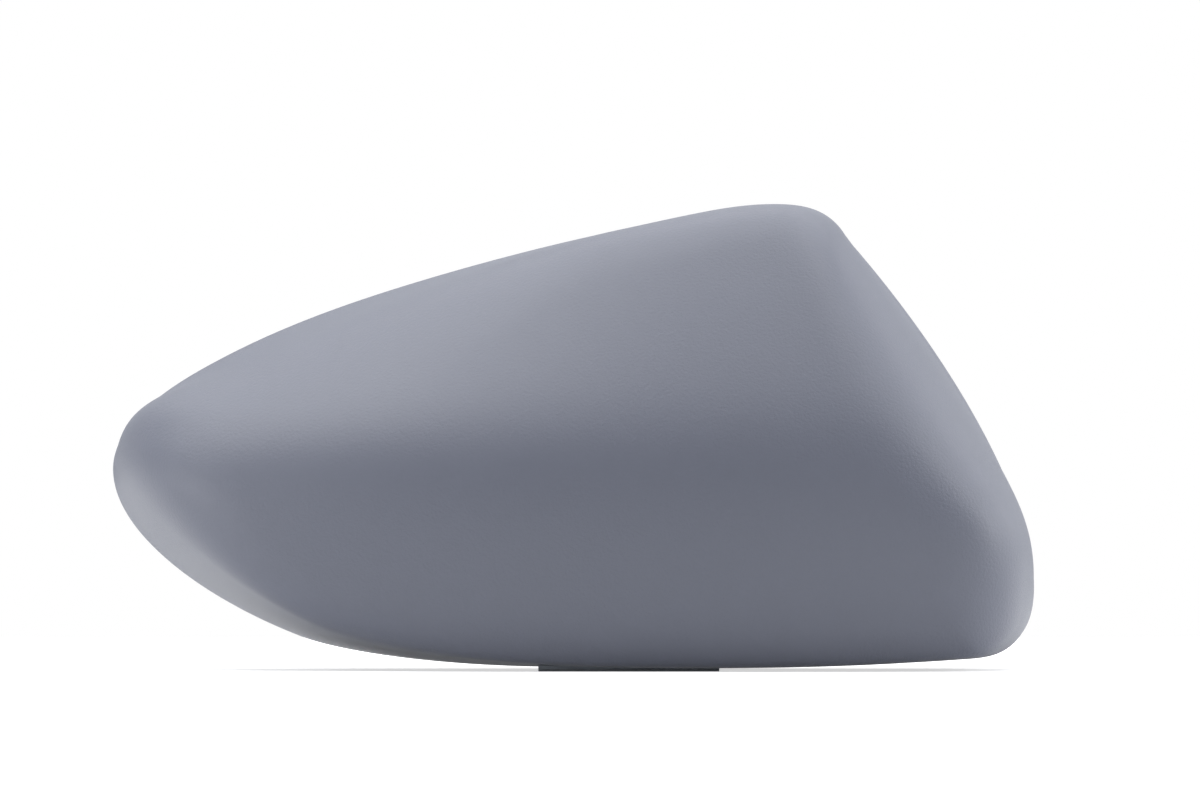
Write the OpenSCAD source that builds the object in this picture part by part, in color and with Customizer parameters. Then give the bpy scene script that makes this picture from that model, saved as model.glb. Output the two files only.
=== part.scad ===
// Wing mirror cover: one thin injection-moulded cap, standing on its lower edge.
// X runs along the cover (door end at minus X), Y through its depth with the
// show face towards minus Y and the open side towards plus Y, and Z is up.

/* [Overall] */
// Length from the door end to the outboard end
cover_length = 240; // [225:1:255]
// Height of the rim at its peak
cover_height = 120.6; // [112:0.2:128]
// Depth from the deepest point of the show face to the rim
cover_depth = 84; // [76:1:92]
// Wall thickness of the moulding
wall = 2.5; // [2:0.1:3]
// Height of the door-end tip above the floor
tip_height = 52; // [48:0.5:56]
// Height of the widest point of the outboard end
outboard_height = 21.5; // [19:0.5:26]

/* [Show face] */
// Distance of the deepest point of the face from mid-length
crown_x = 50; // [40:1:58]
// Height of the line where the face stands upright
crown_z = 46; // [42:1:50]
// Half chord of the face's lengthwise arc
crown_span = 220; // [205:5:250]
// Backward lean of the upper face, slope gained per millimetre of height
lean_upper = 0.0186; // [0.016:0.0002:0.02]
// Tuck of the lower face, slope gained per millimetre of drop
lean_lower = 0.0037; // [0.002:0.0001:0.005]
// Half height of the soft change between the two
lean_blend = 12; // [8:1:16]
// Outward swell of the side walls at the outboard end
swell_outboard = 1.2; // [0.4:0.1:2]
// Outward swell of the side walls over the top
swell_top = 0.8; // [0.2:0.1:1.4]
// Extra tuck of the face where it meets the lower edge
tuck_depth = 2.5; // [0.5:0.1:3]
// Width of the strip that this tuck takes
tuck_run = 12; // [8:0.5:16]

/* [Folds] */
// Reach of the fold round the door-end tip
fold_tip = 24; // [20:1:26]
// Reach of the fold under the door end
fold_chin = 3.5; // [2.6:0.1:5]
// Reach of the fold along the lower edge
fold_keel = 2.2; // [1.6:0.1:3]
// Reach of the fold at the lower outboard corner
fold_heel = 4; // [3:0.5:5]
// Reach of the fold down the outboard end
fold_outboard = 12; // [10:0.5:13]
// Reach of the fold under the upper outboard corner
fold_corner = 9; // [7:0.5:10]
// Reach of the fold at the peak
fold_peak = 11; // [9:0.5:13]
// Reach of the fold over the sloping shoulder
fold_shoulder = 32; // [28:1:34]

/* [Rim and rest] */
// Thickness of the thinned tongue at the rim
tongue_wall = 1.5; // [1.2:0.1:1.8]
// Depth of that tongue
tongue_depth = 4; // [3:0.5:6]
// Length of the flat land that the cover rests on
land_length = 44; // [36:1:50]
// Distance of that land from mid-length
land_x = 14; // [10:1:18]
// Distance of its front end from the rim
land_depth = 66; // [58:1:68]

/* [Locating pegs] */
// Radius of a peg
peg_radius = 3; // [2.5:0.1:3.5]
// Length of a peg above its collar
peg_length = 12; // [10:0.5:14]
// Radius of the collar under a peg
collar_radius = 5; // [4.4:0.1:6]
// Length of that collar
collar_length = 6; // [4:0.5:8]
// Distance of a peg's tip from the rim plane
peg_setback = 20; // [16:1:24]
// Thickness of the webs under a peg and of the stop ribs
web = 1.4; // [1.2:0.1:1.8]

/* [Snap fingers] */
// Width of a snap finger
finger_width = 10; // [8:0.5:12]
// Thickness of a snap finger
finger_thick = 2; // [1.6:0.1:2.4]
// Depth of a finger's root below the rim
finger_root = 24; // [20:1:28]
// Setback of a finger's tip from the rim
finger_setback = 3; // [2:0.5:5]
// Gap between a finger and the wall at its root
finger_gap = 2; // [1.5:0.1:3]
// Projection of the barb
barb = 2.4; // [1.8:0.1:3]

/* [Hidden] */
half = cover_length / 2;
top = cover_height;
// Thickness of the rest land, most of it inside the lower wall, and its setback from the rim
land_top = 1.5;
land_setback = 1;
// Chamfer at a peg's tip, and half width of its webs at the show face
peg_lead = 0.8;
web_reach = 11;
// Start of a stop rib below the rim, its run in depth and its rise from the wall
rib_start = 6;
rib_run = 22;
rib_rise = 3;
// Places of the pegs, and the stations that carry a finger or a rib
peg_places = [[-44, 38], [66, 44]];
finger_stations = [5, 19, 37, 57, 79, 88];
rib_stations = [9, 15, 33, 41, 53, 61, 74, 84];

// Landmarks round the cover, counter-clockwise seen from the front. Each has its
// rim point and its edge point as [x, z, heading, handle in, handle out], then
// the reach of the fold, the swell of the wall, the share of the tuck and the
// number of facets to the next landmark. The first five run along the bottom
// from the door-end tip, and the others come back over the top.
tip      = [[-half, tip_height, 270, 14, 17], [14 - half, tip_height - 2, 270, 12, 16], fold_tip, 0.3, 0, 12];
chin     = [[49 - half, 8.4, -21, 26, 14], [50 - half, 14.2, -24, 32, 12], fold_chin, 0, 0.6, 15];
keel     = [[-5, 0.4, 0, 24, 40], [10, 1.1, -1, 34, 30], fold_keel, 0, 1, 16];
heel     = [[half - 20, 2.4, 3, 32, 15], [half - 24, 3.2, 5, 28, 5], fold_heel, 0.2, 0.6, 7];
outboard = [[half, outboard_height, 90, 12, 23], [half - 18.5, outboard_height - 3.5, 88, 8, 26],
            fold_outboard, swell_outboard, 0, 14];
corner   = [[half - 55, top - 1.4, 134, 44, 2], [half - 52, top - 23.6, 95, 26, 6], fold_corner, 0.6, 0, 5];
peak     = [[half - 65, top, 180, 5, 12], [half - 66, top - 7.6, 185, 7, 12], fold_peak, swell_top, 0, 7];
crest    = [[half - 103, top - 5.2, 191, 13, 18], [half - 104, top - 27.6, 218, 16, 14], 26, swell_top, 0, 7];
shoulder = [[83.2 - half, top - 18.6, 196.5, 18, 24], [96 - half, top - 51.6, 208, 20, 20],
            fold_shoulder, swell_top, 0, 8];
temple   = [[26 - half, 79.2, 209, 19, 10], [54 - half, 57.5, 183, 16, 14], 19, 0.6, 0, 9];
landmarks = [tip, chin, keel, heel, outboard, corner, peak, crest, shoulder, temple];

// Soft ramp: 0 up to -e, t from e on, with matching curvature between
function ramp(t, e) = t <= -e ? 0 : t >= e ? t : pow(t + e, 3) * (3 * e - t) / (16 * pow(e, 3));
// Area under the soft ramp, and its slope
function ramp_sum(t, e) =
    t <= -e ? 0 : t >= e ? t * t / 2 + e * e / 10 : pow(t + e, 4) * (4 * e - t) / (80 * pow(e, 3));

// The show face: y at a place in the front view, and its two slopes there
function face_y(x, z) =
    let (u = (x - crown_x) / crown_span, t = z - crown_z)
    -cover_depth * (1 - u * u) + lean_lower * t * t / 2
    + (lean_upper - lean_lower) * ramp_sum(t, lean_blend);
function face_slopes(x, z) =
    let (t = z - crown_z)
    [2 * cover_depth * (x - crown_x) / (crown_span * crown_span),
     lean_lower * t + (lean_upper - lean_lower) * ramp(t, lean_blend)];

function aim(deg) = [cos(deg), sin(deg)];
function ease(t) = t * t * (3 - 2 * t);
function mix(a, b, t) = a + (b - a) * t;
function unit(v) = v / norm(v);
// The four control points of the curve between two landmarks
function controls(a, b) =
    let (p = [a[0], a[1]], q = [b[0], b[1]])
    [p, p + aim(a[2]) * a[4], q - aim(b[2]) * b[3], q];
function bezier(c, t) =
    c[0] * pow(1 - t, 3) + c[1] * (3 * t * pow(1 - t, 2)) + c[2] * (3 * t * t * (1 - t)) + c[3] * pow(t, 3);
function heading(c, t) =
    unit((c[1] - c[0]) * pow(1 - t, 2) + (c[2] - c[1]) * (2 * t * (1 - t)) + (c[3] - c[2]) * t * t);

// Stations round the cover: [rim, edge, outward, reach, swell, tuck]
stations = [
    for (i = [0:len(landmarks) - 1])
        let (a = landmarks[i], b = landmarks[(i + 1) % len(landmarks)],
             rim = controls(a[0], b[0]), edge = controls(a[1], b[1]))
        for (k = [0:a[5] - 1])
            let (t = k / a[5], h = heading(rim, t))
            [bezier(rim, t), bezier(edge, t), [h[1], -h[0]], mix(a[2], b[2], ease(t)),
             mix(a[3], b[3], ease(t)), tuck_depth * mix(a[4], b[4], ease(t))]
];
n_round = len(stations);
// The stations of the top and the bottom run to a shared spine inside the face
function spine(i) =
    let (x = (stations[i][1][0] + stations[(n_round - i) % n_round][1][0]) / 2, sx = -4 + 0.63 * x)
    [sx, 41 + 0.07 * sx];

// A point at station i of the skin that lies t under the outer surface. v runs
// from 0 at the rim through 1 and 2 at the two ends of the fold to 3 at the spine.
function skin(i, v, t) =
    let (s = stations[i], r = s[0], g = s[1], tuck = s[5],
         slopes = face_slopes(g[0], g[1]),
         rise = unit([r[0] - g[0], -face_y(g[0], g[1]) - tuck, r[1] - g[1]]),
         out = [s[2][0], 0, s[2][1]],
         in_wall = -unit(out - rise * (out * rise)),
         in_face = unit([-slopes[0], 1, -slopes[1]]),
         shift = (in_wall + in_face) * (t / (1 + in_wall * in_face)),
         ex = g[0] + shift[0], ez = g[1] + shift[2],
         es = face_slopes(ex, ez), thick = t * sqrt(1 + es * es),
         edge = [ex, face_y(ex, ez) + tuck + thick, ez],
         rim0 = [r[0], 0, r[1]] + in_wall * t, rim = rim0 - rise * (rim0[1] / rise[1]),
         long = norm(rim - edge), up = (rim - edge) / long,
         sp = spine(i), deep = norm(sp - [ex, ez]), ray = (sp - [ex, ez]) / deep,
         e = max(0.7, min(s[3] - t, 0.95 * min(long, deep))),
         tau = v < 1 ? mix(long, e, v) : v < 2 ? mix(e, -e, v - 1) : mix(-e, -deep, v - 2),
         a = ramp(-tau, e), b = ramp(tau, e),
         x = ex + ray[0] * a, z = ez + ray[1] * a, q = face_slopes(x, z),
         y = face_y(x, z) + t * sqrt(1 + q * q) + tuck * pow(max(0, 1 - a / tuck_run), 2),
         f = min(1, b / long), swell = s[4] * 16 * f * f * (1 - f) * (1 - f))
    [x + up[0] * b + out[0] * swell, y + up[1] * b, z + up[2] * b + out[2] * swell];

// Rows of facets from the rim to the spine, and the fewer rows of the trimming core
tongue_v = 0.06;
fold_steps = 9;
face_steps = 6;
rows_v = concat([0, tongue_v - 0.01, tongue_v + 0.01, 0.2, 0.4, 0.6, 0.8],
                [for (k = [0:fold_steps]) 1 + k / fold_steps], [for (k = [1:face_steps]) 2 + k / face_steps]);
core_v = [0, 0.4, 0.8, 1, 1.3, 1.5, 1.7, 2, 2.3, 3];

// One skin as points: rings from the rim, and a last row that top and bottom share.
// It takes every n-th station and the rows listed.
function skin_points(t, t_rim, every, rows) = [
    for (j = [0:len(rows) - 1], i = [0:every:j == len(rows) - 1 ? n_round / 2 : n_round - 1])
        skin(i, rows[j], rows[j] < tongue_v ? t_rim : t)
];
function at(j, i, n, last) = let (k = i % n) j * n + (j == last ? min(k, n - k) : k);
// Its facets, seen from the front, each quad cut along one diagonal
function skin_faces(n, last) = [
    for (j = [0:last - 1], i = [0:n - 1])
        let (a = at(j, i, n, last), b = at(j, i + 1, n, last),
             c = at(j + 1, i, n, last), d = at(j + 1, i + 1, n, last))
        each c == d ? [[a, c, b]] : [[a, c, b], [b, c, d]]
];
function turned(faces, by) = [for (f = faces) [f[2] + by, f[1] + by, f[0] + by]];

// The thin shell between the outer surface and the inner one
module shell() {
    outer = skin_points(0, 0, 1, rows_v);
    count = len(outer);
    faces = skin_faces(n_round, len(rows_v) - 1);
    rim_faces = [for (i = [0:n_round - 1]) let (k = (i + 1) % n_round)
        each [[i, k, i + count], [k, k + count, i + count]]];
    polyhedron(points = concat(outer, skin_points(wall, tongue_wall, 1, rows_v)),
               faces = concat(faces, turned(faces, count), rim_faces), convexity = 6);
}

// Everything inside the middle of the wall: what stands in the cover is trimmed to it
module core() {
    n = n_round / 2;
    polyhedron(points = skin_points(wall / 2, wall / 2, 2, core_v),
               faces = concat(skin_faces(n, len(core_v) - 1), [[for (i = [0:n - 1]) i]]), convexity = 6);
}

// Where the wall stands at a depth below the rim, and the way inwards there
function wall_place(i, depth) =
    let (s = stations[i], r = s[0], g = s[1], f = depth / -face_y(g[0], g[1]))
    [r[0] + (g[0] - r[0]) * f, 0, r[1] + (g[1] - r[1]) * f];
module at_wall(i, depth, inset) {
    out = stations[i][2];
    translate(wall_place(i, depth)) rotate([0, atan2(-out[0], -out[1]), 0]) translate([0, 0, inset])
        children();
}

// A snap finger: a flat tongue that stands towards the open side on a foot
// moulded to the wall, with a barb that faces the middle of the cover
module finger(i) {
    tip_y = -finger_setback;
    foot = 3;
    at_wall(i, finger_root, wall + finger_gap) {
        rotate([90, 0, 90]) linear_extrude(height = finger_width, center = true) polygon([
            [tip_y, 0], [-finger_root - foot, 0], [-finger_root - foot, finger_thick],
            [tip_y - 5, finger_thick], [tip_y - 4.2, finger_thick + barb], [tip_y - 3.4, finger_thick + barb],
            [tip_y, finger_thick / 2]
        ]);
        translate([-finger_width / 2, -finger_root - foot, -wall - finger_gap])
            cube([finger_width, foot, wall + finger_gap + finger_thick]);
    }
}

// A thin rib across the wall, just below the rim
module stop_rib(i) {
    at_wall(i, rib_start, 0)
        translate([-web / 2, -rib_start - rib_run, 0]) cube([web, rib_run, wall + rib_rise]);
}

// The cross of two webs that carries a peg from the show face
module peg_cross(x, z) {
    for (turn = [0, 90])
        translate([x, 0, z]) rotate([0, turn, 0]) linear_extrude(height = web, center = true) polygon([
            [-web_reach, -cover_depth - 2], [web_reach, -cover_depth - 2],
            [collar_radius, -peg_setback - peg_length - 1], [-collar_radius, -peg_setback - peg_length - 1]
        ]);
}
// A locating peg with the collar that sits over its cross
module peg(x, z) {
    collar_tip = peg_setback + peg_length;
    translate([x, 0, z]) rotate([90, 0, 0]) rotate_extrude($fn = 48) polygon([
        [0, peg_setback], [peg_radius - peg_lead, peg_setback], [peg_radius, peg_setback + peg_lead],
        [peg_radius, collar_tip], [collar_radius, collar_tip], [collar_radius, collar_tip + collar_length],
        [0, collar_tip + collar_length]
    ]);
}

// The moulding without its round pegs
module moulding() {
    shell();
    intersection() {
        union() {
            for (i = finger_stations) finger(i);
            for (i = rib_stations) stop_rib(i);
            for (p = peg_places) peg_cross(p[0], p[1]);
        }
        core();
    }
    translate([land_x - land_length / 2, -land_depth, 0])
        cube([land_length, land_depth - land_setback, land_top]);
}

// The facets fall a little short of the curved skin, so the moulding is brought to its full size.
// The row's origin is at mid-depth.
module mirror_cover() {
    color([0.40, 0.43, 0.48]) translate([0, cover_depth / 2, 0]) {
        resize([cover_length, cover_depth, cover_height]) moulding();
        for (p = peg_places) peg(p[0], p[1]);
    }
}
mirror_cover();
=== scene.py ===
"""Wing mirror cover, dressed over its CAD frame.

The cover is one thin moulded shell. Its skin is worked out in millimetres with
the same landmarks and lines as the CAD solid, inside the same box. The face has
a knee and the folds are softer than the solid's, so it is finer and truer to
the real one. The mesh is in metres.
"""
import math

import bmesh
import bpy
import numpy as np
from bpy.props import FloatProperty, FloatVectorProperty, IntProperty, PointerProperty
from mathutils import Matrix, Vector


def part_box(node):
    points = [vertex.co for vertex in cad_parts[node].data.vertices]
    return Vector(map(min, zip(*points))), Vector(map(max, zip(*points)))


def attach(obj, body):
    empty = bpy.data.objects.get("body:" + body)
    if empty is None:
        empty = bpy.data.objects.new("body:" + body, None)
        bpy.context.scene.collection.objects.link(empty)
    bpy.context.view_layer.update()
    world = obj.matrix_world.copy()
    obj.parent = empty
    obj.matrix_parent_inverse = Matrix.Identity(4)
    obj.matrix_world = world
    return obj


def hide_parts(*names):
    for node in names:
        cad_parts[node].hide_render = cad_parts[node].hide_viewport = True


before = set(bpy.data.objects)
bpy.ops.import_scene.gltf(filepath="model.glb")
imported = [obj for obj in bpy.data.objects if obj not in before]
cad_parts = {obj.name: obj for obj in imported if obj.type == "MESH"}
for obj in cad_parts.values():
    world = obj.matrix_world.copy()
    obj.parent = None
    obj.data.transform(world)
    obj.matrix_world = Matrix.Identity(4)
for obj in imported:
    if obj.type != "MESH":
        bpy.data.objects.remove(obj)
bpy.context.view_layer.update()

bl_info = {
    "name": "Wing Mirror Cover",
    "version": (1, 0, 0),
    "blender": (4, 5, 0),
    "location": "View3D > Sidebar > Mirror Cover",
    "description": "Builds the primed cover of a car's wing mirror and a plain studio round it",
    "category": "Object",
}

CAD_LOW, CAD_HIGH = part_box("mirror_cover")
MM = 0.001

# Landmarks round the cover, counter-clockwise seen from the front, from the
# door-end tip along the bottom and back over the top. A landmark's name is
# followed by its anchors: x counts from the tip, mid-length or the outboard end,
# and z from the floor or the top. Then come its rim point and its edge point,
# each as (x, z, heading, handle in, handle out), the reach of the fold, the swell
# of the wall, the share of the tuck and the coarse steps to the next landmark.
TIP = -1
MID = 0
END = 1
TOP = 1
FLOOR = 0
LANDMARKS = (
    ("tip", TIP, FLOOR, (0, 52, 270, 12.6, 17), (9, 63.5, 278, 12, 16), 28, 0.4, 0, 12),
    ("chin", TIP, FLOOR, (49, 8.4, -21, 26, 14), (59, 11, -24, 32, 12), 10, 0, 0.6, 15),
    ("keel", MID, FLOOR, (-5, 0.4, 0, 24, 40), (10, 1.1, -1, 34, 30), 2.2, 0, 1, 16),
    ("heel", END, FLOOR, (-20, 2.4, 3, 32, 15), (-24, 3.2, 5, 28, 5), 4, 0.2, 0.6, 7),
    ("outboard", END, FLOOR, (0, 21.5, 90, 12, 11.5), (-13.4, 18.9, 82.4, 16, 21.4),
     22, 2, 0, 7),
    ("flank", END, FLOOR, (-16, 67, 119.5, 20, 20), (-30.7, 57.8, 125, 23.6, 20.6),
     25, 2.4, 0, 7),
    ("corner", END, TOP, (-50.8, -5.7, 132, 18, 5.2), (-53.4, -20, 107, 9.8, 11.5),
     20, 2.4, 0, 5),
    ("peak", END, TOP, (-69, 0, 180, 8.7, 11), (-68, -4.9, 179.5, 7, 12), 14, 0.6, 0, 7),
    ("crest", END, TOP, (-103, -5.2, 191, 13, 18), (-109, -10.7, 192, 16, 14), 17, 0, 0, 7),
    ("shoulder", TIP, TOP, (83.2, -18.6, 196.5, 18, 24), (86, -26, 205, 18, 23.6),
     26, 0, 0, 8),
    ("temple", TIP, FLOOR, (26, 79.6, 208.5, 19, 11), (42.2, 73.8, 197.5, 19.2, 14),
     21, 0.4, 0, 9),
)

# The spine's run along the cover, from the mean of opposite edge points.
SPINE_SHIFT = -4
SPINE_SHARE = 0.63
# The least reach of a fold, and its largest share of the wall and of the face.
LEAST_REACH = 0.7
REACH_SHARE = 0.95
# Rows of the mesh over the wall, the fold and the face.
OUTER_ROWS = (15, 27, 25)
INNER_ROWS = (9, 11, 11)
# Half height of the step between the tongue and the full wall.
STEP_HALF = 0.2
# Depth below the rim over which the primer dust inside fades out.
DUST_RUN = 16
SMOOTH_ANGLE = math.radians(30)

# Coarse stations of the fingers and ribs, and (x, z) of the pegs from mid-length.
FINGER_STATIONS = (5, 19, 37, 57, 79, 88)
RIB_STATIONS = (9, 15, 33, 41, 53, 61, 74, 84)
PEG_PLACES = ((-44, 38), (66, 44))
# Height of a finger's foot, and the depths from its tip where its barb starts, is
# full and begins to thin again.
FOOT = 3
BARB_DEPTHS = (5, 4.2, 3.4)
# Lead-in round a peg's tip, and how far its webs reach into the collar.
PEG_LEAD = 0.8
WEB_LAP = 1
# Points along a web's foot.
WEB_POINTS = 13
# How far before the sloping wall would pass its top a rib ends, and the least
# slope that a wall is given for this.
RIB_SPARE = 0.1
LEAST_SLOPE = 0.001
# The land's thickness, and the run and rise of the lead-in at its front end.
LAND_THICK = 1.5
LAND_LEAD = (1.2, 0.6)

# Share of the white surroundings that glossy rays see.
GLOSSY_SHARE = 0.5


class CoverSizes(bpy.types.PropertyGroup):
    """Sizes of the cover, in millimetres."""
    length: FloatProperty(
        name="Length", description="Door end to outboard end",
        default=(CAD_HIGH[0] - CAD_LOW[0]) / MM)
    height: FloatProperty(
        name="Height", description="Floor to the rim's peak",
        default=(CAD_HIGH[2] - CAD_LOW[2]) / MM)
    depth: FloatProperty(
        name="Depth", description="Deepest point of the face to the rim",
        default=(CAD_HIGH[1] - CAD_LOW[1]) / MM)
    wall: FloatProperty(name="Wall", description="Thickness of the moulding", default=2.5)
    tongue_wall: FloatProperty(
        name="Tongue wall", description="Thickness of the thinned rim", default=1.5)
    tongue_depth: FloatProperty(
        name="Tongue depth", description="Depth of the thinned rim", default=4.0)
    crown_x: FloatProperty(
        name="Crown place", description="Deepest point of the face from mid-length",
        default=36.0)
    crown_z: FloatProperty(
        name="Crown height", description="Height where the face stands upright", default=46.2)
    crown_span: FloatProperty(
        name="Crown span", description="Half chord of the face's lengthwise arc", default=220.0)
    lean_lower: FloatProperty(
        name="Lower lean", description="Slope gained per millimetre below the crown height",
        default=0.0084, precision=4)
    lean_middle: FloatProperty(
        name="Middle lean",
        description="Slope gained per millimetre from the crown height to the knee",
        default=0.0278, precision=4)
    lean_turn: FloatProperty(
        name="Lean turn", description="Change of the middle lean along the cover",
        default=-0.0252, precision=4)
    lean_curl: FloatProperty(
        name="Lean curl", description="Growth of the middle lean away from the crown",
        default=0.06, precision=4)
    lean_upper: FloatProperty(
        name="Upper lean", description="Slope gained per millimetre above the knee",
        default=0.0052, precision=4)
    crown_blend: FloatProperty(
        name="Crown blend", description="Half height of the change at the crown height",
        default=18.0)
    knee: FloatProperty(
        name="Knee", description="Height of the knee above the crown height", default=19.6)
    knee_blend: FloatProperty(
        name="Knee blend", description="Half height of the change at the knee", default=12.4)
    tuck_depth: FloatProperty(
        name="Edge tuck", description="Extra tuck where the face meets the lower edge",
        default=2.5)
    tuck_run: FloatProperty(
        name="Edge tuck width", description="Width of the strip that the tuck takes",
        default=12.0)
    fineness: IntProperty(
        name="Fineness", description="Fine steps for each coarse step round the cover",
        default=7, min=1, max=10)


class InsideSizes(bpy.types.PropertyGroup):
    """Sizes of what is moulded inside the cover, in millimetres."""
    finger_width: FloatProperty(
        name="Finger width", description="Width of a snap finger", default=10.0)
    finger_thick: FloatProperty(
        name="Finger thickness", description="Thickness of a snap finger", default=2.0)
    finger_root: FloatProperty(
        name="Finger root", description="Depth of a finger's foot below the rim", default=24.0)
    finger_setback: FloatProperty(
        name="Finger setback", description="Setback of a finger's tip from the rim",
        default=3.0)
    finger_gap: FloatProperty(
        name="Finger gap", description="Gap between a finger and the wall at its root",
        default=2.0)
    barb: FloatProperty(name="Barb", description="Projection of a finger's barb", default=2.4)
    rib_start: FloatProperty(
        name="Rib start", description="Start of a stop rib below the rim", default=6.0)
    rib_run: FloatProperty(
        name="Rib run", description="Length of a stop rib in depth", default=22.0)
    rib_rise: FloatProperty(
        name="Rib rise", description="Rise of a stop rib from the wall", default=3.0)
    web: FloatProperty(name="Web", description="Thickness of ribs and webs", default=1.4)
    web_reach: FloatProperty(
        name="Web reach", description="Half width of a peg's web at the face", default=11.0)
    peg_radius: FloatProperty(
        name="Peg radius", description="Radius of a locating peg", default=3.0)
    peg_length: FloatProperty(
        name="Peg length", description="Length of a peg above its collar", default=12.0)
    peg_setback: FloatProperty(
        name="Peg setback", description="Setback of a peg's tip from the rim", default=20.0)
    collar_radius: FloatProperty(
        name="Collar radius", description="Radius of the collar under a peg", default=5.0)
    collar_length: FloatProperty(
        name="Collar length", description="Length of that collar", default=6.0)
    land_length: FloatProperty(
        name="Land length", description="Length of the flat rest land", default=44.0)
    land_x: FloatProperty(
        name="Land place", description="Middle of the land from mid-length", default=14.0)
    land_depth: FloatProperty(
        name="Land depth", description="Front end of the land from the rim", default=66.0)
    land_setback: FloatProperty(
        name="Land setback", description="Back end of the land from the rim", default=1.0)


class CoverFinish(bpy.types.PropertyGroup):
    """Colours and surface of the primer and the bare plastic."""
    primer: FloatVectorProperty(
        name="Primer", description="Colour of the primer", subtype="COLOR", size=3,
        default=(0.171, 0.185, 0.238))
    primer_roughness: FloatProperty(
        name="Primer roughness", description="Roughness of the primer", default=0.43, min=0,
        max=1)
    grain: FloatProperty(
        name="Grain", description="Height of the sprayed grain, in millimetres", default=0.15)
    plastic: FloatVectorProperty(
        name="Plastic", description="Colour of the bare plastic inside", subtype="COLOR",
        size=3, default=(0.022, 0.023, 0.026))
    plastic_roughness: FloatProperty(
        name="Plastic roughness", description="Roughness of the bare plastic", default=0.5,
        min=0, max=1)


class StudioSettings(bpy.types.PropertyGroup):
    """Camera and light of the plain studio."""
    focal: FloatProperty(
        name="Focal length", description="Camera lens, in millimetres", default=115.1)
    distance: FloatProperty(
        name="Distance", description="Camera to the rim plane, in metres", default=1.0,
        unit="LENGTH")
    eye_height: FloatProperty(
        name="Eye height", description="Camera above the floor, in metres", default=0.012,
        unit="LENGTH")
    eye_side: FloatProperty(
        name="Eye side", description="Camera from mid-length, in metres", default=0.007,
        unit="LENGTH")
    pitch: FloatProperty(
        name="Pitch", description="Upward tilt of the camera", default=0.0578, unit="ROTATION")
    light: FloatProperty(
        name="Light", description="Strength of all lamps together", default=0.88, min=0)
    floor: FloatVectorProperty(
        name="Floor", description="Colour of the floor", subtype="COLOR", size=3,
        default=(0.85, 0.85, 0.85))


# Form

def soft_ramp(t, e):
    """0 up to -e and t from e on; (t + e)^3 (3e - t) / 16e^3 between, so the curvature matches."""
    middle = (t + e) ** 3 * (3 * e - t) / (16 * e ** 3)
    return np.where(t <= -e, 0.0, np.where(t >= e, t, middle))


def soft_ramp_sum(t, e):
    """The integral of soft_ramp: 0, (t + e)^4 (4e - t) / 80e^3, then t^2/2 + e^2/10."""
    middle = (t + e) ** 4 * (4 * e - t) / (80 * e ** 3)
    return np.where(t <= -e, 0.0, np.where(t >= e, t * t / 2 + e * e / 10, middle))


def lean_rates(s, x):
    """u, the slope gained per millimetre from the crown height to the knee, and its change along x.

    u counts from the crown along the cover, and the slope gained is
    lean_middle + lean_turn u + lean_curl u^2.
    """
    u = (x - s.crown_x) / s.crown_span
    return (u, s.lean_middle + s.lean_turn * u + s.lean_curl * u * u,
            (s.lean_turn + 2 * s.lean_curl * u) / s.crown_span)


def face_depth(s, x, z):
    """The crowned face, y = -depth (1 - u^2) + lower (t^2/2 - A) + middle(u) (A - B) + upper B.

    t counts from the crown height, A and B are the soft ramp sums from the crown
    height and from the knee, and u counts from the crown along the cover.
    """
    t = z - s.crown_z
    u, middle, _ = lean_rates(s, x)
    a, b = soft_ramp_sum(t, s.crown_blend), soft_ramp_sum(t - s.knee, s.knee_blend)
    return (-s.depth * (1 - u * u) + s.lean_lower * (t * t / 2 - a)
            + middle * (a - b) + s.lean_upper * b)


def face_slopes(s, x, z):
    """The two slopes of face_depth along x and z."""
    t = z - s.crown_z
    u, middle, turn = lean_rates(s, x)
    a, b = soft_ramp_sum(t, s.crown_blend), soft_ramp_sum(t - s.knee, s.knee_blend)
    da, db = soft_ramp(t, s.crown_blend), soft_ramp(t - s.knee, s.knee_blend)
    return (2 * s.depth * u / s.crown_span + turn * (a - b),
            s.lean_lower * (t - da) + middle * (da - db) + s.lean_upper * db)


def unit(v):
    """Each vector of the last axis divided by its length."""
    return v / np.linalg.norm(v, axis=-1, keepdims=True)


def placed(s, anchor, level, point):
    """A landmark's point, its x and z made into millimetres from mid-length and the floor."""
    return (anchor * s.length / 2 + point[0], level * s.height + point[1]) + tuple(point[2:])


def curve_between(a, b, t):
    """Cubic Bezier curve from landmark a to b, handles along their headings, and its unit tangent."""
    way = lambda deg: np.array([math.cos(math.radians(deg)), math.sin(math.radians(deg))])
    p0, p3 = np.array(a[:2]), np.array(b[:2])
    p1, p2 = p0 + way(a[2]) * a[4], p3 - way(b[2]) * b[3]
    t = t[:, None]
    place = p0 * (1 - t) ** 3 + 3 * p1 * t * (1 - t) ** 2 + 3 * p2 * t * t * (1 - t) + p3 * t ** 3
    along = (p1 - p0) * (1 - t) ** 2 + 2 * (p2 - p1) * t * (1 - t) + (p3 - p2) * t * t
    return place, unit(along)


def stations(s, fineness):
    """Rim, edge, outward way, reach, swell and tuck at each station, as whole arrays."""
    parts = []
    for a, b in zip(LANDMARKS, LANDMARKS[1:] + LANDMARKS[:1]):
        t = np.arange(a[8] * fineness) / (a[8] * fineness)
        rim, along = curve_between(placed(s, a[1], a[2], a[3]), placed(s, b[1], b[2], b[3]), t)
        edge, _ = curve_between(placed(s, a[1], a[2], a[4]), placed(s, b[1], b[2], b[4]), t)
        soft = t * t * (3 - 2 * t)
        blend = [a[k] + (b[k] - a[k]) * soft for k in (5, 6, 7)]
        out = np.stack([along[:, 1], -along[:, 0]], 1)
        parts.append((rim, edge, out, blend[0], blend[1], blend[2] * s.tuck_depth))
    return [np.concatenate([p[k] for p in parts]) for k in range(6)]


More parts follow.
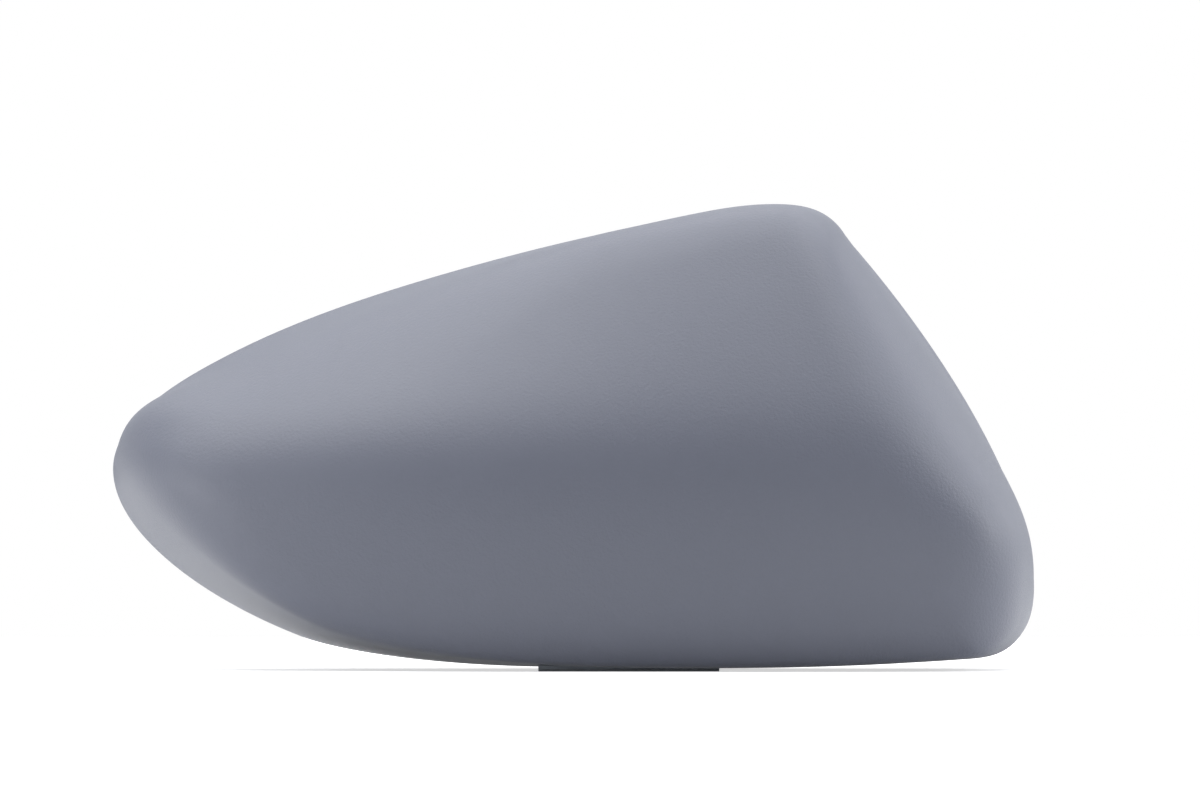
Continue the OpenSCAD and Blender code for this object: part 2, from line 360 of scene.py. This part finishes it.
def skin(s, st, v, under):
    """Points of the skin that lies `under` millimetres below the outer surface.

    Each station's line runs from the rim straight to the edge and on along the
    face to the spine, which lies on the straight line between the edge points of
    the tip and of the outboard end. v = 0 is the rim, 1 and 2 are the ends of the
    fold and 3 is the spine; a negative v is a depth below the rim in millimetres.
    With tau the signed run from the edge, the point is edge + ray * ramp(-tau),
    laid on the face, plus the wall's way * ramp(tau), plus a swell outwards of
    16 f^2 (1 - f)^2, where f is the share of the wall from the edge to the rim.
    """
    rim2, edge2, out2, reach, swell, tuck = st
    under = np.asarray(under, float)[:, None]
    v = np.asarray(v, float)[:, None]
    ex, ez = edge2[:, 0], edge2[:, 1]
    sx, sz = face_slopes(s, ex, ez)
    zero = np.zeros(len(ex))
    rim = np.stack([rim2[:, 0], zero, rim2[:, 1]], 1)
    edge = np.stack([ex, face_depth(s, ex, ez) + tuck, ez], 1)
    rise = unit(rim - edge)
    out = np.stack([out2[:, 0], zero, out2[:, 1]], 1)
    in_wall = -unit(out - rise * np.sum(out * rise, 1, keepdims=True))
    in_face = unit(np.stack([-sx, zero + 1, -sz], 1))
    shift = (in_wall + in_face) / (1 + np.sum(in_wall * in_face, 1, keepdims=True))
    ex, ez = ex + shift[:, 0] * under, ez + shift[:, 2] * under
    sx, sz = face_slopes(s, ex, ez)
    inner_depth = face_depth(s, ex, ez) + tuck + under * np.sqrt(1 + sx * sx + sz * sz)
    edge = np.stack([ex, inner_depth, ez], -1)
    rim = rim + in_wall * under[:, :, None]
    rim = rim - rise * (rim[..., 1:2] / rise[:, 1:2])
    wall = rim - edge
    long = np.linalg.norm(wall, axis=-1)
    wall = wall / long[..., None]
    middle = (edge2[:, 0] + np.roll(edge2[::-1, 0], 1)) / 2
    spine_x = SPINE_SHIFT + SPINE_SHARE * middle
    first, last = edge2[0], edge2[len(edge2) // 2]
    along = (spine_x - first[0]) / (last[0] - first[0])
    spine_z = first[1] + (last[1] - first[1]) * along
    ray_x, ray_z = spine_x - ex, spine_z - ez
    deep = np.hypot(ray_x, ray_z)
    e = np.minimum(reach - under, REACH_SHARE * np.minimum(long, deep))
    e = np.maximum(LEAST_REACH, e)
    tau = np.where(v < 0, long + v, np.where(v < 1, long + (e - long) * v,
                   np.where(v < 2, e - 2 * e * (v - 1), -e + (e - deep) * (v - 2))))
    a, b = soft_ramp(-tau, e), soft_ramp(tau, e)
    x, z = ex + ray_x / deep * a, ez + ray_z / deep * a
    sx, sz = face_slopes(s, x, z)
    y = (face_depth(s, x, z) + under * np.sqrt(1 + sx * sx + sz * sz)
         + tuck * np.maximum(0, 1 - a / s.tuck_run) ** 2)
    f = np.minimum(1, b / long)
    bulge = swell * 16 * f * f * (1 - f) ** 2
    return np.stack([x, y, z], -1) + wall * b[..., None] + out * bulge[..., None]


def into_frame(s, points):
    """Millimetres with the rim at y = 0 become metres with mid-depth at y = 0."""
    return (np.asarray(points, float) + (0, s.depth / 2, 0)) * MM


# Meshes

def new_piece(name, points, faces, materials):
    """A mesh object at the origin from whole arrays of points and faces, smooth up to an angle."""
    mesh = bpy.data.meshes.new(name)
    mesh.from_pydata(np.asarray(points).tolist(), [], [list(f) for f in faces])
    mesh.update()
    mesh.polygons.foreach_set("use_smooth", [True] * len(mesh.polygons))
    mesh.set_sharp_from_angle(angle=SMOOTH_ANGLE)
    for m in materials:
        mesh.materials.append(m)
    piece = bpy.data.objects.new(name, mesh)
    bpy.context.scene.collection.objects.link(piece)
    return piece


def grid_faces(rows, columns, start=0):
    """Quads of a grid that closes on itself, its last row shared by opposite stations."""
    j, i = np.meshgrid(np.arange(rows - 1), np.arange(columns), indexing="ij")
    k = (i + 1) % columns
    shared = lambda row, col: np.where(row == rows - 1, np.minimum(col, columns - col), col)
    point = lambda row, col: row * columns + shared(row, col)
    quads = np.stack([point(j, i), point(j, k), point(j + 1, k), point(j + 1, i)], -1)
    return quads.reshape(-1, 4) + start


def rows_of(counts, skip=0):
    """Values of v over the wall, the fold and the face, less the first few of the wall."""
    wall, fold, face = (np.linspace(0, 1, count) for count in counts)
    return np.concatenate([wall[skip:], 1 + fold[1:], 2 + face[1:]])


def shell_mesh(s):
    """Outer and inner skin as two grids joined by the rim strip, and the primer dust inside."""
    st = stations(s, s.fineness)
    n = len(st[0])
    outer_v = rows_of(OUTER_ROWS)
    # The tongue's rows are its rim, its middle, both sides of the step and the full wall.
    step = s.tongue_depth
    tongue_v = [0, -0.5 * step, -step + STEP_HALF, -step - STEP_HALF, -1.3 * step]
    inner_v = np.concatenate([tongue_v, rows_of(INNER_ROWS, 2)])
    under = np.where((inner_v <= 0) & (inner_v > -step), s.tongue_wall, s.wall)
    outer = skin(s, st, outer_v, np.zeros(len(outer_v)))
    inner = skin(s, st, inner_v, under)
    outer_quads, inner_quads = (len(outer_v) - 1) * n, (len(inner_v) - 1) * n
    last = n // 2 + 1
    outer_points = outer.reshape(-1, 3)[:outer_quads + last]
    inner_points = inner.reshape(-1, 3)[:inner_quads + last]
    count = len(outer_points)
    i = np.arange(n)
    k = (i + 1) % n
    rim = np.stack([i + count, k + count, k, i], -1)
    faces = np.concatenate([grid_faces(len(outer_v), n),
                            grid_faces(len(inner_v), n, count)[:, ::-1], rim])
    kind = np.repeat([0, 1, 0], [outer_quads, inner_quads, n])
    points = np.concatenate([outer_points, inner_points])
    dust = np.clip(1 + points[:, 1] / DUST_RUN, 0, 1)
    return into_frame(s, points), faces, kind, dust


def wall_frame(s, st, i, depth):
    """Outer wall at coarse station i and a depth below the rim.

    Gives its place, the way inwards, and the inward run for each millimetre of depth.
    """
    rim, edge, out = (st[k][i] for k in range(3))
    edge_depth = -face_depth(s, edge[0], edge[1])
    inward = np.array([-out[0], 0, -out[1]])
    place = rim + (edge - rim) * depth / edge_depth
    slope = np.dot(edge - rim, -out) / edge_depth
    return np.array([place[0], 0, place[1]]), inward, slope


def prism(profile, place, inward, width):
    """A profile of (y, inset) points carried across a width, square to y and the inward way."""
    profile = np.asarray(profile, float)
    across = np.array([inward[2], 0, -inward[0]]) * width / 2
    ring = place + profile[:, 1:] * inward + profile[:, :1] * np.array([0, 1, 0])
    n = len(profile)
    sides = [(k, (k + 1) % n, n + (k + 1) % n, n + k) for k in range(n)]
    ends = [tuple(range(n))[::-1], tuple(range(n, 2 * n))]
    return np.concatenate([ring - across, ring + across]), ends + sides


def joined(parts):
    """Several (points, faces) pairs as one."""
    points, faces, start = [], [], 0
    for p, f in parts:
        points.append(p)
        faces += [tuple(start + k for k in face) for face in f]
        start += len(p)
    return np.concatenate(points), faces


def turned(profile, place, steps=64):
    """A profile of (radius, y) points turned about the y line through place, ends on the axis."""
    profile = np.asarray(profile, float)
    angle = np.arange(steps) * 2 * np.pi / steps
    middle = profile[1:-1]
    rows = len(middle)
    level = np.broadcast_to(middle[:, 1:], (rows, steps))
    ring = np.stack([middle[:, :1] * np.cos(angle), level, middle[:, :1] * np.sin(angle)], -1)
    ends = np.array([[0, profile[0, 1], 0], [0, profile[-1, 1], 0]])
    first, last = rows * steps, rows * steps + 1
    turn = [(k, (k + 1) % steps) for k in range(steps)]
    faces = [(row + k, row + m, row + steps + m, row + steps + k)
             for row in range(0, first - steps, steps) for k, m in turn]
    faces += [(first, m, k) for k, m in turn]
    faces += [(last, first - steps + k, first - steps + m) for k, m in turn]
    points = np.concatenate([ring.reshape(-1, 3), ends])
    return points + np.array([place[0], 0, place[1]]), faces


def outwards(piece):
    """Recalculate the normals of closed solids so that they all face outwards."""
    solid = bmesh.new()
    solid.from_mesh(piece.data)
    bmesh.ops.recalc_face_normals(solid, faces=solid.faces)
    solid.to_mesh(piece.data)
    solid.free()


def soften(piece, width):
    """Small rounds on a moulded feature's edges."""
    bevel = piece.modifiers.new("rounds", "BEVEL")
    bevel.width, bevel.segments = width, 2
    bevel.limit_method, bevel.angle_limit = "ANGLE", math.radians(35)
    bevel.use_clamp_overlap = True


# Materials

def group_with(name, inputs, outputs):
    """An empty shader node group with named sockets."""
    group = bpy.data.node_groups.new(name, "ShaderNodeTree")
    for label, kind, value in inputs:
        socket = group.interface.new_socket(name=label, in_out="INPUT", socket_type=kind)
        socket.default_value = value
    for label, kind in outputs:
        group.interface.new_socket(name=label, in_out="OUTPUT", socket_type=kind)
    return group


def node(tree, kind, **values):
    """One node of a tree with some of its inputs or settings filled in."""
    made = tree.nodes.new(kind)
    for key, value in values.items():
        if key in made.inputs:
            made.inputs[key].default_value = value
        else:
            setattr(made, key, value)
    return made


def maths(tree, operation, a, b=None, c=None):
    """A Math node whose operands are numbers or sockets."""
    made = tree.nodes.new("ShaderNodeMath")
    made.operation = operation
    for slot, value in zip(made.inputs, (a, b, c)):
        if value is None:
            continue
        if isinstance(value, (int, float)):
            slot.default_value = value
        else:
            tree.links.new(value, slot)
    return made.outputs[0]


def sprayed_grain():
    """Height of a sprayed coat: an orange peel with a grain a third of its size on it.

    The grain size counts the bumps of the orange peel in a metre.
    """
    group = bpy.data.node_groups.get("Sprayed grain")
    if group:
        return group
    group = group_with("Sprayed grain", [("Grain size", "NodeSocketFloat", 1300.0)],
                       [("Height", "NodeSocketFloat")])
    nodes, links = group.nodes, group.links
    entry, leave = nodes.new("NodeGroupInput"), nodes.new("NodeGroupOutput")
    where = nodes.new("ShaderNodeTexCoord")
    peel = node(group, "ShaderNodeTexNoise", Detail=2.0, Roughness=0.5)
    fine = node(group, "ShaderNodeTexNoise", Detail=3.0, Roughness=0.6)
    for texture, times in ((peel, 1.0), (fine, 3.2)):
        links.new(where.outputs["Object"], texture.inputs["Vector"])
        scale = maths(group, "MULTIPLY", entry.outputs["Grain size"], times)
        links.new(scale, texture.inputs["Scale"])
    coarse = maths(group, "MULTIPLY", peel.outputs["Fac"], 0.65)
    height = maths(group, "MULTIPLY_ADD", fine.outputs["Fac"], 0.35, coarse)
    links.new(height, leave.inputs["Height"])
    return group


def uneven_coat():
    """A tint that drifts by a few hundredths over centimetres, and a mask of sparse dust nibs."""
    group = bpy.data.node_groups.get("Uneven coat")
    if group:
        return group
    group = group_with(
        "Uneven coat",
        [("Colour", "NodeSocketColor", (0.2, 0.2, 0.2, 1)), ("Drift", "NodeSocketFloat", 0.04),
         ("Nibs", "NodeSocketFloat", 0.5)],
        [("Colour", "NodeSocketColor"), ("Drift", "NodeSocketFloat")])
    nodes, links = group.nodes, group.links
    entry, leave = nodes.new("NodeGroupInput"), nodes.new("NodeGroupOutput")
    where = nodes.new("ShaderNodeTexCoord")
    cloud = node(group, "ShaderNodeTexNoise", Scale=26.0, Detail=3.0, Roughness=0.55)
    links.new(where.outputs["Object"], cloud.inputs["Vector"])
    drift = maths(group, "SUBTRACT", cloud.outputs["Fac"], 0.5)
    gain = maths(group, "MULTIPLY_ADD", drift, entry.outputs["Drift"], 1.0)
    cell = node(group, "ShaderNodeTexVoronoi", Scale=55.0)
    links.new(where.outputs["Object"], cell.inputs["Vector"])
    near = maths(group, "LESS_THAN", cell.outputs["Distance"], 0.014)
    picked = nodes.new("ShaderNodeSeparateColor")
    links.new(cell.outputs["Color"], picked.inputs["Color"])
    nib = maths(group, "MULTIPLY", near, maths(group, "GREATER_THAN", picked.outputs["Red"], 0.72))
    nib = maths(group, "MULTIPLY", nib, entry.outputs["Nibs"])
    shade = maths(group, "MULTIPLY", gain, maths(group, "SUBTRACT", 1.0, nib))
    tint = node(group, "ShaderNodeVectorMath", operation="SCALE")
    links.new(entry.outputs["Colour"], tint.inputs[0])
    links.new(shade, tint.inputs["Scale"])
    links.new(tint.outputs[0], leave.inputs["Colour"])
    links.new(drift, leave.inputs["Drift"])
    return group


def use_group(tree, group, **values):
    """A group placed in a material, with its own values."""
    made = tree.nodes.new("ShaderNodeGroup")
    made.node_tree = group
    for key, value in values.items():
        made.inputs[key.replace("_", " ").capitalize()].default_value = value
    return made


def new_material(name):
    """A material with nodes, with its tree and its Principled shader."""
    made = bpy.data.materials.new(name)
    made.use_nodes = True
    return made, made.node_tree, made.node_tree.nodes["Principled BSDF"]


def add_grain(tree, shader, size, strength, height):
    """The sprayed grain as a bump on a shader, its height in millimetres."""
    grain = use_group(tree, sprayed_grain(), grain_size=size)
    bump = node(tree, "ShaderNodeBump", Strength=strength, Distance=height * MM)
    tree.links.new(grain.outputs["Height"], bump.inputs["Height"])
    tree.links.new(bump.outputs["Normal"], shader.inputs["Normal"])


def primer_material(finish):
    """Matt grey primer: a drifting tint, sparse nibs, and a sprayed grain in its bump."""
    made, tree, shader = new_material("primer")
    coat = use_group(tree, uneven_coat(), colour=(*finish.primer, 1), drift=0.05, nibs=0.45)
    tree.links.new(coat.outputs["Colour"], shader.inputs["Base Color"])
    rough = maths(tree, "MULTIPLY_ADD", coat.outputs["Drift"], 0.06, finish.primer_roughness)
    tree.links.new(rough, shader.inputs["Roughness"])
    add_grain(tree, shader, 1300.0, 1.0, finish.grain)
    return made


def plastic_material(finish):
    """Bare dark plastic with a faint mould grain, and primer dust that fades away from the rim."""
    made, tree, shader = new_material("bare_plastic")
    coat = use_group(tree, uneven_coat(), colour=(*finish.plastic, 1), drift=0.2, nibs=0.0)
    dust = node(tree, "ShaderNodeAttribute", attribute_name="overspray")
    where = tree.nodes.new("ShaderNodeTexCoord")
    ragged = node(tree, "ShaderNodeTexNoise", Scale=160.0, Detail=4.0, Roughness=0.6)
    tree.links.new(where.outputs["Object"], ragged.inputs["Vector"])
    amount = maths(tree, "MULTIPLY", dust.outputs["Fac"], dust.outputs["Fac"])
    patches = maths(tree, "MULTIPLY_ADD", ragged.outputs["Fac"], 0.9, 0.45)
    amount = maths(tree, "MINIMUM", maths(tree, "MULTIPLY", amount, patches), 1.0)
    mix = node(tree, "ShaderNodeMix", data_type="RGBA")
    bare, dusted = [s for s in mix.inputs if s.type == "RGBA"]
    dusted.default_value = (*finish.primer, 1)
    tree.links.new(amount, mix.inputs["Factor"])
    tree.links.new(coat.outputs["Colour"], bare)
    blended = [s for s in mix.outputs if s.type == "RGBA"][0]
    tree.links.new(blended, shader.inputs["Base Color"])
    rough = maths(tree, "MULTIPLY_ADD", amount, 0.15, finish.plastic_roughness)
    tree.links.new(rough, shader.inputs["Roughness"])
    add_grain(tree, shader, 1500.0, 0.8, 0.03)
    return made


def seen_white(tree):
    """1 for camera rays and the glossy share for glossy rays, where a surface shows white."""
    path = tree.nodes.new("ShaderNodeLightPath")
    return maths(tree, "MULTIPLY_ADD", path.outputs["Is Glossy Ray"], GLOSSY_SHARE,
                 path.outputs["Is Camera Ray"])


def floor_material(colour):
    """Plain pale floor that turns white for the camera and in gloss, and keeps the shadow.

    At d metres from the cover its glow is 1.2 d + 0.35, kept between 0.6 and 1.
    """
    made = bpy.data.materials.new("studio_floor")
    made.use_nodes = True
    tree = made.node_tree
    tree.nodes.clear()
    matt = node(tree, "ShaderNodeBsdfDiffuse", Color=(*colour, 1))
    glow = node(tree, "ShaderNodeEmission", Color=(1, 1, 1, 1))
    where = tree.nodes.new("ShaderNodeTexCoord")
    far = node(tree, "ShaderNodeVectorMath", operation="LENGTH")
    tree.links.new(where.outputs["Object"], far.inputs[0])
    near_glow, full_glow = 0.6, 1.0
    reach = maths(tree, "MULTIPLY_ADD", far.outputs["Value"], 1.2, 0.35)
    reach = maths(tree, "MINIMUM", maths(tree, "MAXIMUM", reach, near_glow), full_glow)
    tree.links.new(reach, glow.inputs["Strength"])
    both = tree.nodes.new("ShaderNodeAddShader")
    pick = tree.nodes.new("ShaderNodeMixShader")
    leave = tree.nodes.new("ShaderNodeOutputMaterial")
    tree.links.new(matt.outputs[0], both.inputs[0])
    tree.links.new(glow.outputs[0], both.inputs[1])
    tree.links.new(seen_white(tree), pick.inputs[0])
    tree.links.new(matt.outputs[0], pick.inputs[1])
    tree.links.new(both.outputs[0], pick.inputs[2])
    tree.links.new(pick.outputs[0], leave.inputs[0])
    return made


# Operators

class COVER_OT_shell(bpy.types.Operator):
    """Build the shell: outer skin, inner skin and rim as one closed mesh."""
    bl_idname = "cover.shell"
    bl_label = "Cover shell"

    def execute(self, context):
        s, finish = context.scene.cover_sizes, context.scene.cover_finish
        points, faces, kind, spray = shell_mesh(s)
        finishes = (primer_material(finish), plastic_material(finish))
        piece = new_piece("cover_shell", points, faces, finishes)
        piece.data.polygons.foreach_set("material_index", kind.astype(np.int32))
        dust = piece.data.attributes.new("overspray", "FLOAT", "POINT")
        dust.data.foreach_set("value", spray.astype(np.float32))
        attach(piece, "root")
        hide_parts("mirror_cover")
        return {"FINISHED"}


def inside_piece(s, name, parts, rounds):
    """One riding piece of bare plastic from closed parts."""
    points, faces = joined(parts)
    finishes = (bpy.data.materials["bare_plastic"],)
    piece = new_piece(name, into_frame(s, points), faces, finishes)
    outwards(piece)
    soften(piece, rounds * MM)
    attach(piece, "root")
    return piece


class COVER_OT_fingers(bpy.types.Operator):
    """Build the snap fingers on their feet, each with a barb that faces the middle."""
    bl_idname = "cover.fingers"
    bl_label = "Snap fingers"

    def execute(self, context):
        s, g = context.scene.cover_sizes, context.scene.cover_inside
        st, parts = stations(s, 1), []
        low, tip, root = s.wall + g.finger_gap, -g.finger_setback, -g.finger_root
        high = low + g.finger_thick
        start, full, thin = (tip - depth for depth in BARB_DEPTHS)
        for i in FINGER_STATIONS:
            place, inward, slope = wall_frame(s, st, i, g.finger_root)
            profile = [(tip, low), (root, low), (root, s.wall / 2),
                       (root - FOOT, s.wall / 2 + slope * FOOT), (root - FOOT, high),
                       (start, high), (full, high + g.barb), (thin, high + g.barb),
                       (tip, low + g.finger_thick / 2)]
            parts.append(prism(profile, place, inward, g.finger_width))
        inside_piece(s, "snap_fingers", parts, 0.3)
        return {"FINISHED"}


class COVER_OT_ribs(bpy.types.Operator):
    """Build the thin stop ribs just below the rim."""
    bl_idname = "cover.ribs"
    bl_label = "Stop ribs"

    def execute(self, context):
        s, g = context.scene.cover_sizes, context.scene.cover_inside
        st, parts = stations(s, 1), []
        for i in RIB_STATIONS:
            place, inward, slope = wall_frame(s, st, i, g.rib_start)
            room = (s.wall / 2 + g.rib_rise) / max(slope, LEAST_SLOPE) - RIB_SPARE
            run, high = min(g.rib_run, room), s.wall + g.rib_rise
            profile = [(-g.rib_start, s.wall / 2), (-g.rib_start, high), (-g.rib_start - run, high),
                       (-g.rib_start - run, s.wall / 2 + slope * run)]
            parts.append(prism(profile, place, inward, g.web))
        inside_piece(s, "stop_ribs", parts, 0.2)
        return {"FINISHED"}


class COVER_OT_pegs(bpy.types.Operator):
    """Build the locating pegs, their collars and the crossed webs that carry them."""
    bl_idname = "cover.pegs"
    bl_label = "Locating pegs"

    def execute(self, context):
        s, g = context.scene.cover_sizes, context.scene.cover_inside
        webs, turns = [], []
        tip, top = -g.peg_setback, -g.peg_setback - g.peg_length
        bottom, lap = top - g.collar_length, top - WEB_LAP
        for x, z in PEG_PLACES:
            for way in (np.array([0, 0, 1.0]), np.array([1.0, 0, 0])):
                run = np.linspace(-g.web_reach, g.web_reach, WEB_POINTS)
                px, pz = x + run * way[0], z + run * way[2]
                sx, sz = face_slopes(s, px, pz)
                foot = face_depth(s, px, pz) + s.wall / 2 * np.sqrt(1 + sx * sx + sz * sz)
                profile = np.concatenate([np.stack([foot, run], 1),
                                          [(lap, g.collar_radius), (lap, -g.collar_radius)]])
                webs.append(prism(profile, np.array([x, 0, z]), way, g.web))
            turns.append(turned([(0, tip), (g.peg_radius - PEG_LEAD, tip),
                                 (g.peg_radius, tip - PEG_LEAD), (g.peg_radius, top),
                                 (g.collar_radius, top), (g.collar_radius, bottom),
                                 (0, bottom)], (x, z)))
        inside_piece(s, "peg_webs", webs, 0.2)
        inside_piece(s, "locating_pegs", turns, 0.25)
        return {"FINISHED"}


class COVER_OT_land(bpy.types.Operator):
    """Build the flat land under the lower wall that the cover rests on."""
    bl_idname = "cover.land"
    bl_label = "Rest land"

    def execute(self, context):
        s, g = context.scene.cover_sizes, context.scene.cover_inside
        front, back, (run, rise) = -g.land_depth, -g.land_setback, LAND_LEAD
        profile = [(front + run, 0), (back, 0), (back, LAND_THICK), (front, LAND_THICK),
                   (front, rise)]
        place, upwards = np.array([g.land_x, 0, 0]), np.array([0, 0, 1.0])
        points, faces = prism(profile, place, upwards, g.land_length)
        finishes = (bpy.data.materials["primer"],)
        piece = new_piece("rest_land", into_frame(s, points), faces, finishes)
        outwards(piece)
        soften(piece, 0.15 * MM)
        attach(piece, "root")
        return {"FINISHED"}


# Each lamp's power, its place from the rim at mid-length on the floor and its two sizes.
LAMPS = (
    ("over_front", 3.4, (0, -0.6, 1.1), (1.4, 0.6)),
    ("over", 10.2, (0, 0, 1.2), (1.6, 0.6)),
    ("over_back", 6.5, (0, 0.7, 1.1), (1.8, 0.7)),
    ("over_left", 5.9, (-0.8, -0.1, 0.9), (0.7, 0.9)),
    ("over_right", 2.0, (0.8, -0.1, 0.9), (0.7, 0.9)),
    ("back", 1.8, (0, 1.6, 0.7), (2.6, 1.4)),
    ("right_back", 3.0, (1.1, 0.7, 0.45), (0.7, 0.8)),
    ("left_back", 0.4, (-1.1, 0.7, 0.45), (0.7, 0.8)),
    ("right", 7.9, (1.3, -0.1, 0.4), (0.6, 0.8)),
    ("left_low", 2.4, (-1.0, -0.3, 0.12), (0.6, 0.24)),
)


class COVER_OT_studio(bpy.types.Operator):
    """Build the stage: pale floor, soft lamps, white surroundings and the camera."""
    bl_idname = "cover.studio"
    bl_label = "Studio"

    def execute(self, context):
        scene = context.scene
        studio, shift = scene.cover_studio, scene.cover_sizes.depth / 2 * MM
        corner = np.array([[-2.2, -2.2, 0], [2.2, -2.2, 0], [2.2, 2.0, 0], [-2.2, 2.0, 0]])
        floor = new_piece("studio_floor", corner, [(0, 1, 2, 3)], (floor_material(studio.floor),))
        aim = Vector((0, shift - 0.04, 0.06))
        for name, power, place, size in LAMPS:
            lamp = bpy.data.lights.new(name, "AREA")
            lamp.shape = "RECTANGLE"
            lamp.size, lamp.size_y = size
            lamp.energy = power * studio.light
            holder = bpy.data.objects.new(name, lamp)
            holder.location = Vector(place) + Vector((0, shift, 0))
            holder.rotation_euler = (aim - holder.location).to_track_quat("-Z", "Y").to_euler()
            holder.visible_camera = False
            scene.collection.objects.link(holder)
        world = bpy.data.worlds.new("surroundings")
        scene.world = world
        world.use_nodes = True
        tree = world.node_tree
        tree.nodes.clear()
        dark = node(tree, "ShaderNodeBackground", Color=(0, 0, 0, 1), Strength=0.0)
        white = node(tree, "ShaderNodeBackground", Color=(1, 1, 1, 1), Strength=1.0)
        pick = tree.nodes.new("ShaderNodeMixShader")
        tree.links.new(seen_white(tree), pick.inputs[0])
        tree.links.new(dark.outputs[0], pick.inputs[1])
        tree.links.new(white.outputs[0], pick.inputs[2])
        tree.links.new(pick.outputs[0], tree.nodes.new("ShaderNodeOutputWorld").inputs[0])
        lens = bpy.data.cameras.new("camera")
        lens.lens, lens.sensor_width = studio.focal, 36
        camera = bpy.data.objects.new("camera", lens)
        camera.location = (studio.eye_side, shift - studio.distance, studio.eye_height)
        camera.rotation_euler = (math.pi / 2 + studio.pitch, 0, 0)
        scene.collection.objects.link(camera)
        scene.camera = camera
        scene.view_settings.view_transform = "Standard"
        return {"FINISHED"}


class COVER_PT_panel(bpy.types.Panel):
    """Lists the cover's operators and settings."""
    bl_idname = "COVER_PT_panel"
    bl_label = "Wing Mirror Cover"
    bl_space_type = "VIEW_3D"
    bl_region_type = "UI"
    bl_category = "Mirror Cover"

    def draw(self, context):
        for name in GROUPS:
            group = getattr(context.scene, name)
            box = self.layout.box()
            for key in group.__annotations__:
                box.prop(group, key)
        for operator in OPERATORS:
            self.layout.operator(operator.bl_idname)


GROUPS = {"cover_sizes": CoverSizes, "cover_inside": InsideSizes,
          "cover_finish": CoverFinish, "cover_studio": StudioSettings}
OPERATORS = (COVER_OT_shell, COVER_OT_fingers, COVER_OT_ribs, COVER_OT_pegs, COVER_OT_land,
             COVER_OT_studio)


def register():
    for cls in (*GROUPS.values(), *OPERATORS, COVER_PT_panel):
        bpy.utils.register_class(cls)
    for name, cls in GROUPS.items():
        setattr(bpy.types.Scene, name, PointerProperty(type=cls))


def unregister():
    for name in GROUPS:
        delattr(bpy.types.Scene, name)
    for cls in (COVER_PT_panel, *reversed(OPERATORS), *reversed(GROUPS.values())):
        bpy.utils.unregister_class(cls)


def main():
    """Register everything and build each piece in order."""
    register()
    for operator in OPERATORS:
        group, name = operator.bl_idname.split(".")
        getattr(getattr(bpy.ops, group), name)()


if __name__ == "__main__":
    main()
